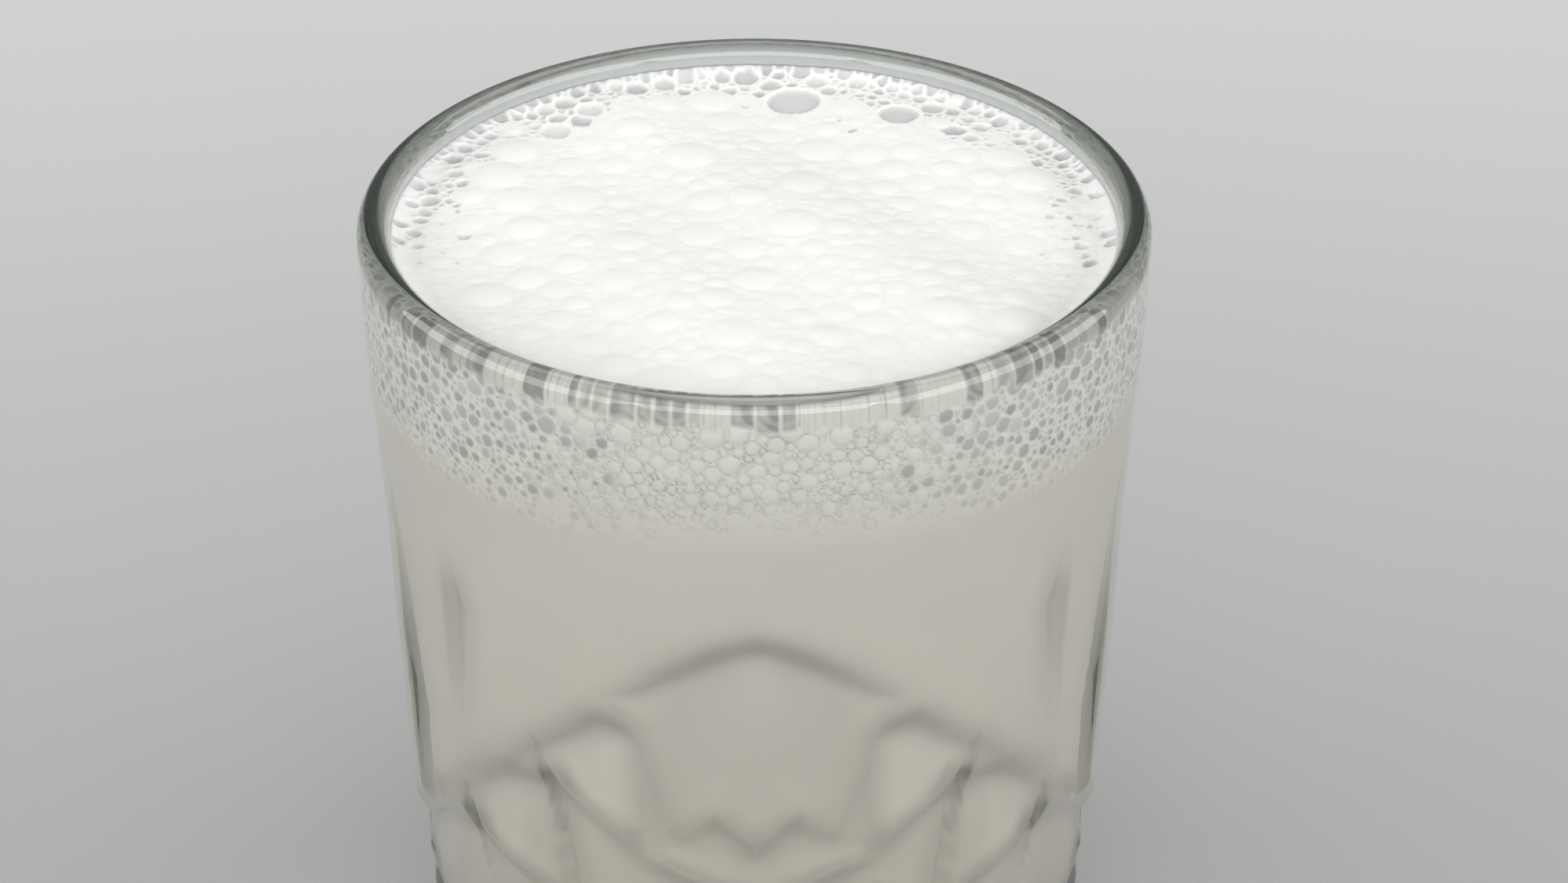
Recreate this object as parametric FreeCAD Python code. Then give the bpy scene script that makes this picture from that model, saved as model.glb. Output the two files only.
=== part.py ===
"""Glass of lassi: a heavy pressed-glass tumbler, the yogurt drink and its froth.

Frame: +Z up, origin at the middle of the base, front of the pattern towards -Y.
Lengths in millimetres, angles in degrees measured from the front (-Y) towards +X.
"""
import FreeCAD, Part
import math
import os

V = FreeCAD.Vector

# ---- tumbler, overall -------------------------------------------------------
HEIGHT = 98.0            # base to top of lip
RIM_RADIUS = 41.0        # outside of the lip
LIP_R = 1.68             # the lip is a full round of this radius
LIP_MID = RIM_RADIUS - LIP_R     # radius of the lip's mid circle
LIP_Z = HEIGHT - LIP_R           # height of the lip's mid circle

# outside wall: (fraction of LIP_MID below the lip, fraction of LIP_MID radius)
WALL = [(0.25, 1.0411), (0.55, 1.0262), (0.80, 1.0130), (1.15, 1.0040),
        (1.55, 0.9895), (1.80, 0.9790), (1.95, 0.9658), (2.07, 0.9480),
        (2.16, 0.9300)]
FOOT_SHOULDER_Z = 5.2    # below this the wall rounds under to the foot
FOOT_SHOULDER_R = 34.6
FOOT_R = 31.2            # outer radius of the flat ring that the glass rests on
RING_INNER_R = 25.0      # inner radius of that ring
PUNT_Z = 1.4             # height of the hollow under the base

# inside
BORE_TOP_R = LIP_MID - LIP_R     # bore radius just under the lip
BORE_LOW_R = 34.1
BORE_LOW_Z = 24.0
FLOOR_Z = 10.0           # thickness of the base
FLOOR_FILLET = 11.0
FLOOR_RISE = 0.8         # the floor dips this much towards its middle

# ---- contents ---------------------------------------------------------------
FROTH_TOP_Z = HEIGHT - 2.0       # froth stands this high
FROTH_DEPTH = 17.0               # thickness of the froth layer
LASSI_TOP_Z = FROTH_TOP_Z - FROTH_DEPTH

# ---- pressed pattern --------------------------------------------------------
REPEAT = 2               # arches round the glass
SECTOR = 360.0 / REPEAT
HALF = SECTOR / 2.0
ARCH_TOP = 0.63          # arch peak below the lip, in LIP_MID
ARCH_SLOPE = 0.0160      # fall of the arch per degree, away from its top
ARCH_ROUND = 8.0         # degrees over which its top is rounded
ARCH_END = 1.86          # the arch's line falls no lower than this
CUT = 2.00               # deepest facet, mm
CREST = 0.40             # depth of the ridges below the round wall, mm
OUTSIDE = -1.6           # how far out the mould stands where the wall is plain
STEP_IN = 0.085          # height over which a facet turns in, in LIP_MID
COLUMNS = [0.0, 6.5, 12.0, 18.5, 25.5, 33.0, 44.0, 56.0, 67.0, 79.0, 90.0]
COLUMN_CUT = [0.80, 1.00, 0.92, 0.80, 1.00, 0.80, 1.00, 0.80, 1.00, 0.80, 1.00]
LEAN = {6.5: 0.5}        # the column beside the middle leans in by this share at the top
# ridges: corner points (degrees, drop), running down and inwards to the middle
RIDGES = [
    [(0.0, 1.32), (6.5, 1.20), (12.0, 1.31), (18.5, 0.95)],
    [(0.0, 1.50), (18.5, 1.36), (33.0, 1.19)],
    [(0.0, 1.77), (18.5, 1.70), (33.0, 1.60), (56.0, 1.50)],
    [(0.0, 1.97), (33.0, 1.93), (90.0, 1.95)],
]
# upright vee cuts: degrees, top, deepest, tip (drops), depth mm, steepness of the
# wall away from the arch's middle and of the wall towards it (rise over run), and
# how far the top and the tip lean away from the arch's middle, mm
VEES = [
    (18.5, 0.93, 1.12, 2.00, 2.10, 0.95, 0.60, 0.0, 0.0),
    (33.8, 1.09, 1.27, 2.00, 3.00, 2.40, 0.80, 1.3, -5.0),
    (52.5, 1.38, 1.56, 2.06, 2.90, 2.40, 0.80, 1.3, -3.4),
    (52.5, 0.58, 0.80, 1.36, 1.30, 2.60, 0.32, 0.0, 0.0),
    (70.5, 0.50, 1.25, 2.06, 1.80, 3.00, 0.24, 0.0, 0.0),
]


def at(angle, radius, z):
    a = math.radians(angle)
    return V(radius * math.sin(a), -radius * math.cos(a), z)


def wall_radius(drop):
    """Radius of the plain outside wall, drop in LIP_MID below the lip."""
    pts = [(0.0, RIM_RADIUS / LIP_MID)] + WALL
    if drop <= pts[0][0]:
        return pts[0][1] * LIP_MID
    for (d0, r0), (d1, r1) in zip(pts, pts[1:]):
        if drop <= d1:
            return (r0 + (r1 - r0) * (drop - d0) / (d1 - d0)) * LIP_MID
    return pts[-1][1] * LIP_MID


def arch(angle):
    """Drop of the arch's line at this many degrees from its middle; rounded at the top."""
    turn = abs(angle)
    return min(ARCH_TOP + ARCH_SLOPE * (math.hypot(turn, ARCH_ROUND) - ARCH_ROUND), ARCH_END)


def along(points, angle):
    """Drop of a ridge at an angle; None past its outer end."""
    for (a0, d0), (a1, d1) in zip(points, points[1:]):
        if angle <= a1 + 1e-9:
            return d0 + (d1 - d0) * (angle - a0) / (a1 - a0)
    return None


def pattern_column(angle, share):
    """Points (angle, drop, depth) down one column of the pattern."""
    a = arch(angle)
    start = a - 0.10
    drops = [along(r, angle) for r in RIDGES]
    missing = [d for d in drops if d is None]
    present = [d for d in drops if d is not None]
    rows = [(start, OUTSIDE)]
    level, shallow = a, 0.0
    first = True
    for d in present:
        gap = d - level
        drop = level + min(STEP_IN, 0.42 * gap)
        depth = shallow + (CUT * share - shallow) * min(1.0, gap / 0.17)
        if first:
            # rows of the ridges that end nearer the middle lie on this slope
            for k in range(2 * len(missing)):
                t = (k + 1) / (2 * len(missing) + 1)
                rows.append((start + (drop - start) * t, OUTSIDE + (depth - OUTSIDE) * t))
            first = False
        rows.append((drop, depth))
        rows.append((d, CREST))
        level, shallow = d, CREST
    rows.append((level + 0.06, CUT * 0.5 * share))
    rows.append((2.19, OUTSIDE))
    lean = LEAN.get(angle, 0.0)
    low = present[0]
    out = []
    for drop, depth in rows:
        t = min(1.0, max(0.0, (low - drop) / (low - start)))
        out.append((angle * (1 - lean * t), drop, depth))
    return out


def pattern_rings():
    """The columns all round, each a list of (angle, drop, depth)."""
    half = [pattern_column(c, s) for c, s in zip(COLUMNS, COLUMN_CUT)]
    rings = []
    for k in range(REPEAT):
        mid = k * SECTOR
        for col in reversed(half[1:-1]):
            rings.append([(mid - a, d, c) for a, d, c in col])
        for col in half:
            rings.append([(mid + a, d, c) for a, d, c in col])
    return rings


def mould():
    """Closed many-sided solid whose common volume with the round body leaves
    the pressed facets."""
    rings = pattern_rings()
    rows = []
    for ring in rings:
        pts = [at(ring[0][0], RIM_RADIUS + 8.0, HEIGHT + 6.0),
               at(ring[0][0], RIM_RADIUS + 8.0, LIP_Z - 0.30 * LIP_MID)]
        for a, d, c in ring:
            pts.append(at(a, wall_radius(d) - c, LIP_Z - d * LIP_MID))
        pts.append(at(ring[-1][0], RIM_RADIUS + 8.0, 6.0))
        pts.append(at(ring[-1][0], RIM_RADIUS + 8.0, -6.0))
        rows.append(pts)
    faces = []

    def tri(p, q, r):
        faces.append(Part.Face(Part.makePolygon([p, q, r, p])))

    top, bottom = V(0, 0, HEIGHT + 6.0), V(0, 0, -6.0)
    n = len(rows)
    for i in range(n):
        left, right = rows[i], rows[(i + 1) % n]
        tri(top, left[0], right[0])
        tri(bottom, right[-1], left[-1])
        for j in range(len(left) - 1):
            if (left[j] - right[j + 1]).Length < (right[j] - left[j + 1]).Length:
                tri(left[j], left[j + 1], right[j + 1])
                tri(left[j], right[j + 1], right[j])
            else:
                tri(left[j], left[j + 1], right[j])
                tri(right[j], left[j + 1], right[j + 1])
    shell = Part.makeShell(faces)
    solid = Part.makeSolid(shell)
    if solid.Volume < 0:
        solid.reverse()
    return solid


def revolve(edges):
    face = Part.Face(Part.Wire(edges))
    return face.revolve(V(0, 0, 0), V(0, 0, 1), 360)


def line(a, b):
    return Part.LineSegment(V(a[0], 0, a[1]), V(b[0], 0, b[1])).toShape()


def arc(a, m, b):
    return Part.Arc(V(a[0], 0, a[1]), V(m[0], 0, m[1]), V(b[0], 0, b[1])).toShape()


def spline(points, start=None, end=None):
    s = Part.BSplineCurve()
    pts = [V(x, 0, z) for x, z in points]
    if start and end:
        s.interpolate(Points=pts, InitialTangent=V(start[0], 0, start[1]),
                      FinalTangent=V(end[0], 0, end[1]))
    else:
        s.interpolate(pts)
    return s.toShape()


def outer_points():
    pts = [(RIM_RADIUS, LIP_Z)]
    pts += [(r * LIP_MID, LIP_Z - d * LIP_MID) for d, r in WALL]
    pts.append((FOOT_SHOULDER_R, FOOT_SHOULDER_Z))
    return pts


def bore_edges(z_top, inset=0.0):
    """Inside wall from height z_top down to the axis, as edges."""
    slope = (BORE_TOP_R - BORE_LOW_R) / (LIP_Z - BORE_LOW_Z)
    r_top = BORE_TOP_R - (LIP_Z - z_top) * slope
    low = (BORE_LOW_R, BORE_LOW_Z)
    end = (BORE_LOW_R - FLOOR_FILLET, FLOOR_Z + FLOOR_RISE)
    return [line((r_top, z_top), low),
            spline([low, (BORE_LOW_R - 0.29 * FLOOR_FILLET - 0.35, FLOOR_Z + FLOOR_RISE + 4.1), end],
                   (-slope, -1.0), (-1.0, -0.10)),
            line(end, (0.0, FLOOR_Z))], r_top


def round_body():
    bore, r_top = bore_edges(LIP_Z)
    lip_top = (LIP_MID, HEIGHT)
    outer = outer_points()
    edges = [arc((r_top, LIP_Z), lip_top, (RIM_RADIUS, LIP_Z)),
             spline(outer, (0.0, -1.0), (-0.45, -1.0)),
             arc(outer[-1],
                 (FOOT_R + 2.2, 1.6),
                 (FOOT_R, 0.0)),
             line((FOOT_R, 0.0), (RING_INNER_R, 0.0)),
             line((RING_INNER_R, 0.0), (RING_INNER_R - 3.0, PUNT_Z)),
             line((RING_INNER_R - 3.0, PUNT_Z), (0.0, PUNT_Z)),
             line((0.0, PUNT_Z), (0.0, FLOOR_Z))]
    return revolve(edges + bore)


def vee(middle, top, deepest, tip, depth, right, left, lean_top, lean_tip):
    """Cutter for one upright vee cut, pointed at both ends and deepest between."""
    reach = 6.0
    stations = []
    for drop, sunk, lean in ((top, 0.0, lean_top), (deepest, depth, 0.0), (tip, 0.0, lean_tip)):
        z = LIP_Z - drop * LIP_MID
        root = wall_radius(drop) - sunk
        stations.append((z, root, lean))
    mouth = max(wall_radius(top), wall_radius(deepest)) + reach
    points = []
    for z, root, lean in stations:
        rise = mouth - root
        points.append((V(lean, -root, z), V(lean - rise / left, -mouth, z),
                       V(lean + rise / right, -mouth, z)))
    faces = []

    def poly(*p):
        faces.append(Part.Face(Part.makePolygon(list(p) + [p[0]])))

    for (r0, a0, b0), (r1, a1, b1) in zip(points, points[1:]):
        poly(r0, a0, a1, r1)
        poly(r0, r1, b1, b0)
    (r0, a0, b0), (r2, a2, b2) = points[0], points[-1]
    poly(r0, b0, a0)
    poly(r2, a2, b2)
    a1, b1 = points[1][1], points[1][2]
    poly(a0, b0, b1, a1)
    poly(a1, b1, b2, a2)
    solid = Part.makeSolid(Part.makeShell(faces))
    if solid.Volume < 0:
        solid.reverse()
    solid.rotate(V(0, 0, 0), V(0, 0, 1), middle)
    return solid


def filling(z_low, z_high):
    """Contents of the bore between two heights."""
    edges, r_top = bore_edges(z_high)
    edges.append(line((0.0, FLOOR_Z), (0.0, z_high)))
    edges.append(line((0.0, z_high), (r_top, z_high)))
    solid = revolve(edges)
    if z_low > FLOOR_Z:
        slab = Part.makeCylinder(RIM_RADIUS * 2, HEIGHT, V(0, 0, z_low - HEIGHT))
        solid = solid.cut(slab)
    return solid


def one(shape):
    solids = shape.Solids
    assert len(solids) == 1, len(solids)
    s = solids[0]
    assert s.isValid()
    return s


def build():
    body = one(round_body())
    glass = body.common(mould())
    cutters = []
    for k in range(REPEAT):
        for angle, top, deepest, tip, depth, away, towards, lean_top, lean_tip in VEES:
            for side in (-1, 1):
                right, left = (away, towards) if side > 0 else (towards, away)
                cutters.append(vee(k * SECTOR + side * angle, top, deepest, tip, depth, right, left,
                                   side * lean_top, side * lean_tip))
    glass = glass.cut(cutters)
    return {"glass": one(glass),
            "lassi": one(filling(0.0, LASSI_TOP_Z)),
            "froth": one(filling(LASSI_TOP_Z, FROTH_TOP_Z))}


def main():
    os.makedirs("parts", exist_ok=True)
    for name, shape in build().items():
        shape.exportStep("parts/%s.step" % name)
        b = shape.BoundBox
        print(name, "volume %.1f cm3" % (shape.Volume / 1000.0), "faces", len(shape.Faces),
              "box", [round(v, 2) for v in (b.XMin, b.YMin, b.ZMin, b.XMax, b.YMax, b.ZMax)])


main()
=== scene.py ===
"""Looks of the glass of lassi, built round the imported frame. Lengths in metres unless named mm."""
import bpy
import math
import numpy as np
from mathutils import Matrix, Vector
from mathutils.bvhtree import BVHTree


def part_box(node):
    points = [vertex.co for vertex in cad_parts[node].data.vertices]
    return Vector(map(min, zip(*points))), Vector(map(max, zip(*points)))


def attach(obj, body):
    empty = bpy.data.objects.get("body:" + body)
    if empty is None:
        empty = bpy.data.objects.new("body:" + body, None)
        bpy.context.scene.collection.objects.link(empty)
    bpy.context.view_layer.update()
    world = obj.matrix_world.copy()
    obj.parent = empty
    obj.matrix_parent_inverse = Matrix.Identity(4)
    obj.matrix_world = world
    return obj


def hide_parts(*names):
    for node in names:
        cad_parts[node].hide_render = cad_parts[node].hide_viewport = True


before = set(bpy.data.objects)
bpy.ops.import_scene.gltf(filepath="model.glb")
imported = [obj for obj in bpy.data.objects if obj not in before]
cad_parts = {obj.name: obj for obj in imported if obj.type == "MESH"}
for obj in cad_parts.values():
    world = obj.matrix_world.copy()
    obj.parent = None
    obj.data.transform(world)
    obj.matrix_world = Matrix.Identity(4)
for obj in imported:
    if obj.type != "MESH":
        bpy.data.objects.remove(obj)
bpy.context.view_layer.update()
MM = 0.001
scene = bpy.context.scene

# ---- sizes of the tumbler, as in the CAD part (mm) ---------------------------
g_lo, g_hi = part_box("glass")
f_lo, f_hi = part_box("froth")
l_lo, l_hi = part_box("lassi")
HEIGHT = g_hi.z / MM
RIM_RADIUS = 41.0
LIP_R = 1.68
LIP_MID = RIM_RADIUS - LIP_R
LIP_Z = HEIGHT - LIP_R
WALL = [(0.25, 1.0411), (0.55, 1.0262), (0.80, 1.0130), (1.15, 1.0040),
        (1.55, 0.9895), (1.80, 0.9790), (1.95, 0.9658), (2.07, 0.9480),
        (2.16, 0.9300)]
FOOT_SHOULDER_Z, FOOT_SHOULDER_R = 5.2, 34.6
FOOT_R, RING_INNER_R, PUNT_Z = 31.2, 25.0, 1.4
BORE_TOP_R, BORE_LOW_R, BORE_LOW_Z = LIP_MID - LIP_R, 34.1, 24.0
FLOOR_Z, FLOOR_FILLET, FLOOR_RISE = 10.0, 11.0, 0.8
FROTH_TOP_Z = f_hi.z / MM
LASSI_TOP_Z = l_hi.z / MM

REPEAT = 2               # arches round the glass
SECTOR = 360.0 / REPEAT
HALF = SECTOR / 2.0
ARCH_TOP = 0.63          # arch peak below the lip, in LIP_MID
ARCH_SLOPE = 0.0160      # fall of the arch per degree, away from its top
ARCH_ROUND = 8.0         # degrees over which its top is rounded
ARCH_END = 1.86          # the arch's line falls no lower than this
CUT = 2.00               # deepest facet, mm
CREST = 0.40             # depth of the ridges below the round wall, mm
OUTSIDE = -1.6           # how far out the mould stands where the wall is plain
STEP_IN = 0.085          # height over which a facet turns in, in LIP_MID
COLUMNS = [0.0, 6.5, 12.0, 18.5, 25.5, 33.0, 44.0, 56.0, 67.0, 79.0, 90.0]
COLUMN_CUT = [0.80, 1.00, 0.92, 0.80, 1.00, 0.80, 1.00, 0.80, 1.00, 0.80, 1.00]
LEAN = {6.5: 0.5}        # the column beside the middle leans in by this share at the top
# ridges: corner points (degrees, drop), running down and inwards to the middle
RIDGES = [
    [(0.0, 1.32), (6.5, 1.20), (12.0, 1.31), (18.5, 0.95)],
    [(0.0, 1.50), (18.5, 1.36), (33.0, 1.19)],
    [(0.0, 1.77), (18.5, 1.70), (33.0, 1.60), (56.0, 1.50)],
    [(0.0, 1.97), (33.0, 1.93), (90.0, 1.95)],
]
# upright vee cuts: degrees, top, deepest, tip (drops), depth mm, steepness of the
# wall away from the arch's middle and of the wall towards it (rise over run), and
# how far the top and the tip lean away from the arch's middle, mm
VEES = [
    (18.5, 0.93, 1.12, 2.00, 2.10, 0.95, 0.60, 0.0, 0.0),
    (33.8, 1.09, 1.27, 2.00, 3.00, 2.40, 0.80, 1.3, -5.0),
    (52.5, 1.38, 1.56, 2.06, 2.90, 2.40, 0.80, 1.3, -3.4),
    (52.5, 0.58, 0.80, 1.36, 1.30, 2.60, 0.32, 0.0, 0.0),
    (70.5, 0.50, 1.25, 2.06, 1.80, 3.00, 0.24, 0.0, 0.0),
]

rng = np.random.default_rng(7)


# ---- geometry of the outside wall --------------------------------------------
def hermite(points, t_start, t_end, per):
    """Smooth curve through points with chord-length parameter; returns points."""
    p = np.array(points, float)
    d = np.linalg.norm(np.diff(p, axis=0), axis=1)
    n = len(p)
    m = np.zeros_like(p)
    for i in range(1, n - 1):
        a, b = d[i - 1], d[i]
        m[i] = ((p[i] - p[i - 1]) / a * b + (p[i + 1] - p[i]) / b * a) / (a + b)
    m[0] = np.array(t_start) / np.linalg.norm(t_start)
    m[-1] = np.array(t_end) / np.linalg.norm(t_end)
    out = []
    for i in range(n - 1):
        k = max(2, int(math.ceil(d[i] / per)))
        for j in range(k):
            t = j / k
            h = d[i]
            out.append((2 * t**3 - 3 * t**2 + 1) * p[i] + (t**3 - 2 * t**2 + t) * h * m[i]
                       + (-2 * t**3 + 3 * t**2) * p[i + 1] + (t**3 - t**2) * h * m[i + 1])
    out.append(p[-1])
    return np.array(out)


def wall_radius(drop):
    pts = [(0.0, RIM_RADIUS / LIP_MID)] + WALL
    if drop <= pts[0][0]:
        return pts[0][1] * LIP_MID
    for (d0, r0), (d1, r1) in zip(pts, pts[1:]):
        if drop <= d1:
            return (r0 + (r1 - r0) * (drop - d0) / (d1 - d0)) * LIP_MID
    return pts[-1][1] * LIP_MID


def arch(angle):
    """Drop of the arch's line at this many degrees from its middle; rounded at the top."""
    turn = abs(angle)
    return min(ARCH_TOP + ARCH_SLOPE * (math.hypot(turn, ARCH_ROUND) - ARCH_ROUND), ARCH_END)


def along(points, angle):
    """Drop of a ridge at an angle; None past its outer end."""
    for (a0, d0), (a1, d1) in zip(points, points[1:]):
        if angle <= a1 + 1e-9:
            return d0 + (d1 - d0) * (angle - a0) / (a1 - a0)
    return None


def pattern_column(angle, share):
    """Points (angle, drop, depth) down one column of the pattern."""
    a = arch(angle)
    start = a - 0.10
    drops = [along(r, angle) for r in RIDGES]
    missing = [d for d in drops if d is None]
    present = [d for d in drops if d is not None]
    rows = [(start, OUTSIDE)]
    level, shallow = a, 0.0
    first = True
    for d in present:
        gap = d - level
        drop = level + min(STEP_IN, 0.42 * gap)
        depth = shallow + (CUT * share - shallow) * min(1.0, gap / 0.17)
        if first:
            # rows of the ridges that end nearer the middle lie on this slope
            for k in range(2 * len(missing)):
                t = (k + 1) / (2 * len(missing) + 1)
                rows.append((start + (drop - start) * t, OUTSIDE + (depth - OUTSIDE) * t))
            first = False
        rows.append((drop, depth))
        rows.append((d, CREST))
        level, shallow = d, CREST
    rows.append((level + 0.06, CUT * 0.5 * share))
    rows.append((2.19, OUTSIDE))
    lean = LEAN.get(angle, 0.0)
    low = present[0]
    out = []
    for drop, depth in rows:
        t = min(1.0, max(0.0, (low - drop) / (low - start)))
        out.append((angle * (1 - lean * t), drop, depth))
    return out


def pattern_rings():
    """The columns all round, each a list of (angle, drop, depth)."""
    half = [pattern_column(c, s) for c, s in zip(COLUMNS, COLUMN_CUT)]
    rings = []
    for k in range(REPEAT):
        mid = k * SECTOR
        for col in reversed(half[1:-1]):
            rings.append([(mid - a, d, c) for a, d, c in col])
        for col in half:
            rings.append([(mid + a, d, c) for a, d, c in col])
    return rings


def at(angle, radius, z):
    a = math.radians(angle)
    return (radius * math.sin(a), -radius * math.cos(a), z)


def mould_tree():
    rings = pattern_rings()
    rows = []
    for ring in rings:
        pts = [at(ring[0][0], RIM_RADIUS + 8.0, HEIGHT + 6.0),
               at(ring[0][0], RIM_RADIUS + 8.0, LIP_Z - 0.30 * LIP_MID)]
        pts += [at(a, wall_radius(d) - c, LIP_Z - d * LIP_MID) for a, d, c in ring]
        pts += [at(ring[-1][0], RIM_RADIUS + 8.0, 6.0),
                at(ring[-1][0], RIM_RADIUS + 8.0, -6.0)]
        rows.append(pts)
    verts, tris, n, m = [], [], len(rows), len(rows[0])
    for r in rows:
        verts += [Vector(p) for p in r]
    for i in range(n):
        a, b = i * m, ((i + 1) % n) * m
        for j in range(m - 1):
            if (verts[a + j] - verts[b + j + 1]).length < (verts[b + j] - verts[a + j + 1]).length:
                tris += [(a + j, a + j + 1, b + j + 1), (a + j, b + j + 1, b + j)]
            else:
                tris += [(a + j, a + j + 1, b + j), (b + j, a + j + 1, b + j + 1)]
    return BVHTree.FromPolygons(verts, tris)


def smooth_min(a, b, k):
    h = np.clip(0.5 + 0.5 * (b - a) / k, 0, 1)
    return b * (1 - h) + a * h - k * h * (1 - h)


def smooth_noise(theta, z, waves, amp, seed):
    """Seamless low-frequency waviness over the wall."""
    r = np.random.default_rng(seed)
    out = np.zeros_like(theta)
    for _ in range(waves):
        k = r.integers(2, 14)
        q = r.uniform(0.03, 0.28)
        out += np.sin(k * theta + q * z + r.uniform(0, 6.28)) / (1 + 0.15 * k)
    return amp * out / math.sqrt(waves)


def blur_wrap(a, passes):
    """Three-tap blur, wrapped round the glass, plain up and down."""
    for _ in range(passes):
        a = 0.25 * np.roll(a, 1, 1) + 0.5 * a + 0.25 * np.roll(a, -1, 1)
        p = np.pad(a, ((1, 1), (0, 0)), mode="edge")
        a = 0.25 * p[:-2] + 0.5 * p[1:-1] + 0.25 * p[2:]
    return a


def vee_radius(theta_deg, z, middle, top, deepest, tip, depth, right, left, lean_top, lean_tip):
    """Radius left by one upright vee cut; large elsewhere."""
    zt, zd, zb = (LIP_Z - v * LIP_MID for v in (top, deepest, tip))
    rt, rd, rb = wall_radius(top), wall_radius(deepest) - depth, wall_radius(tip)
    root = np.where(z > zd, rd + (rt - rd) * (z - zd) / (zt - zd),
                    rb + (rd - rb) * (z - zb) / (zd - zb))
    off = np.radians((theta_deg - middle + 180.0) % 360.0 - 180.0)
    side = np.where(z > zd, lean_top * (z - zd) / (zt - zd), lean_tip * (z - zd) / (zb - zd))
    best = np.zeros_like(root)
    for steep, sign in ((right, 1.0), (left, -1.0)):
        share = np.cos(off) - sign * steep * np.sin(off)
        wall = np.where(share > 0.3, (root - sign * steep * side) / np.maximum(share, 0.3), 99.0)
        best = np.maximum(best, wall)
    return np.where((z < zt + 1) & (z > zb - 1), best, 99.0)



def mesh_object(name, verts, faces, smooth=True):
    me = bpy.data.meshes.new(name)
    me.from_pydata([tuple(v) for v in verts], [], faces)
    me.update()
    me.validate()
    if smooth:
        me.polygons.foreach_set("use_smooth", [True] * len(me.polygons))
    ob = bpy.data.objects.new(name, me)
    scene.collection.objects.link(ob)
    return ob


def rings_to_faces(n_rows, n_cols, closed_rows=False):
    faces = []
    last = n_rows if closed_rows else n_rows - 1
    for i in range(last):
        a, b = i * n_cols, ((i + 1) % n_rows) * n_cols
        for j in range(n_cols):
            k = (j + 1) % n_cols
            faces.append((a + j, b + j, b + k, a + k))
    return faces


SEG = 420


def bore_profile(z_top, inset=0.0, per=2.0):
    """(radius, height) points down the inside wall to near the axis."""
    slope = (BORE_TOP_R - BORE_LOW_R) / (LIP_Z - BORE_LOW_Z)
    r_top = BORE_TOP_R - (LIP_Z - z_top) * slope
    n = max(2, int((z_top - BORE_LOW_Z) / per))
    wall = [(r_top + (BORE_LOW_R - r_top) * i / n, z_top + (BORE_LOW_Z - z_top) * i / n) for i in range(n)]
    end = (BORE_LOW_R - FLOOR_FILLET, FLOOR_Z + FLOOR_RISE)
    curve = hermite([(BORE_LOW_R, BORE_LOW_Z),
                     (BORE_LOW_R - 0.29 * FLOOR_FILLET - 0.35, FLOOR_Z + FLOOR_RISE + 4.1), end],
                    (-slope, -1.0), (-1.0, -0.10), 1.2)
    floor = [(end[0] * (1 - i / 5), FLOOR_Z + FLOOR_RISE * (1 - i / 5)) for i in range(1, 5)]
    p = np.array(wall + [tuple(c) for c in curve] + floor)
    if inset:
        d = np.gradient(p, axis=0)
        nrm = np.stack([-d[:, 1], d[:, 0]], 1)
        nrm /= np.linalg.norm(nrm, axis=1)[:, None]
        p = p + nrm * inset
    return p


def revolve_object(name, profile, seg=SEG, close_top=None, close_bottom=None):
    """Revolves (r, z) rows; close_* give the axis height of a closing fan."""
    th = np.arange(seg) * 2 * math.pi / seg
    verts = []
    for r, z in profile:
        verts += list(zip(r * np.sin(th), -r * np.cos(th), np.full(seg, z)))
    faces = rings_to_faces(len(profile), seg)
    if close_bottom is not None:
        verts.append((0, 0, close_bottom))
        c, a = len(verts) - 1, (len(profile) - 1) * seg
        faces += [(a + j, c, a + (j + 1) % seg) for j in range(seg)]
    if close_top is not None:
        verts.append((0, 0, close_top))
        c = len(verts) - 1
        faces += [(j, (j + 1) % seg, c) for j in range(seg)]
    return mesh_object(name, np.array(verts) * MM, faces)


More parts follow.
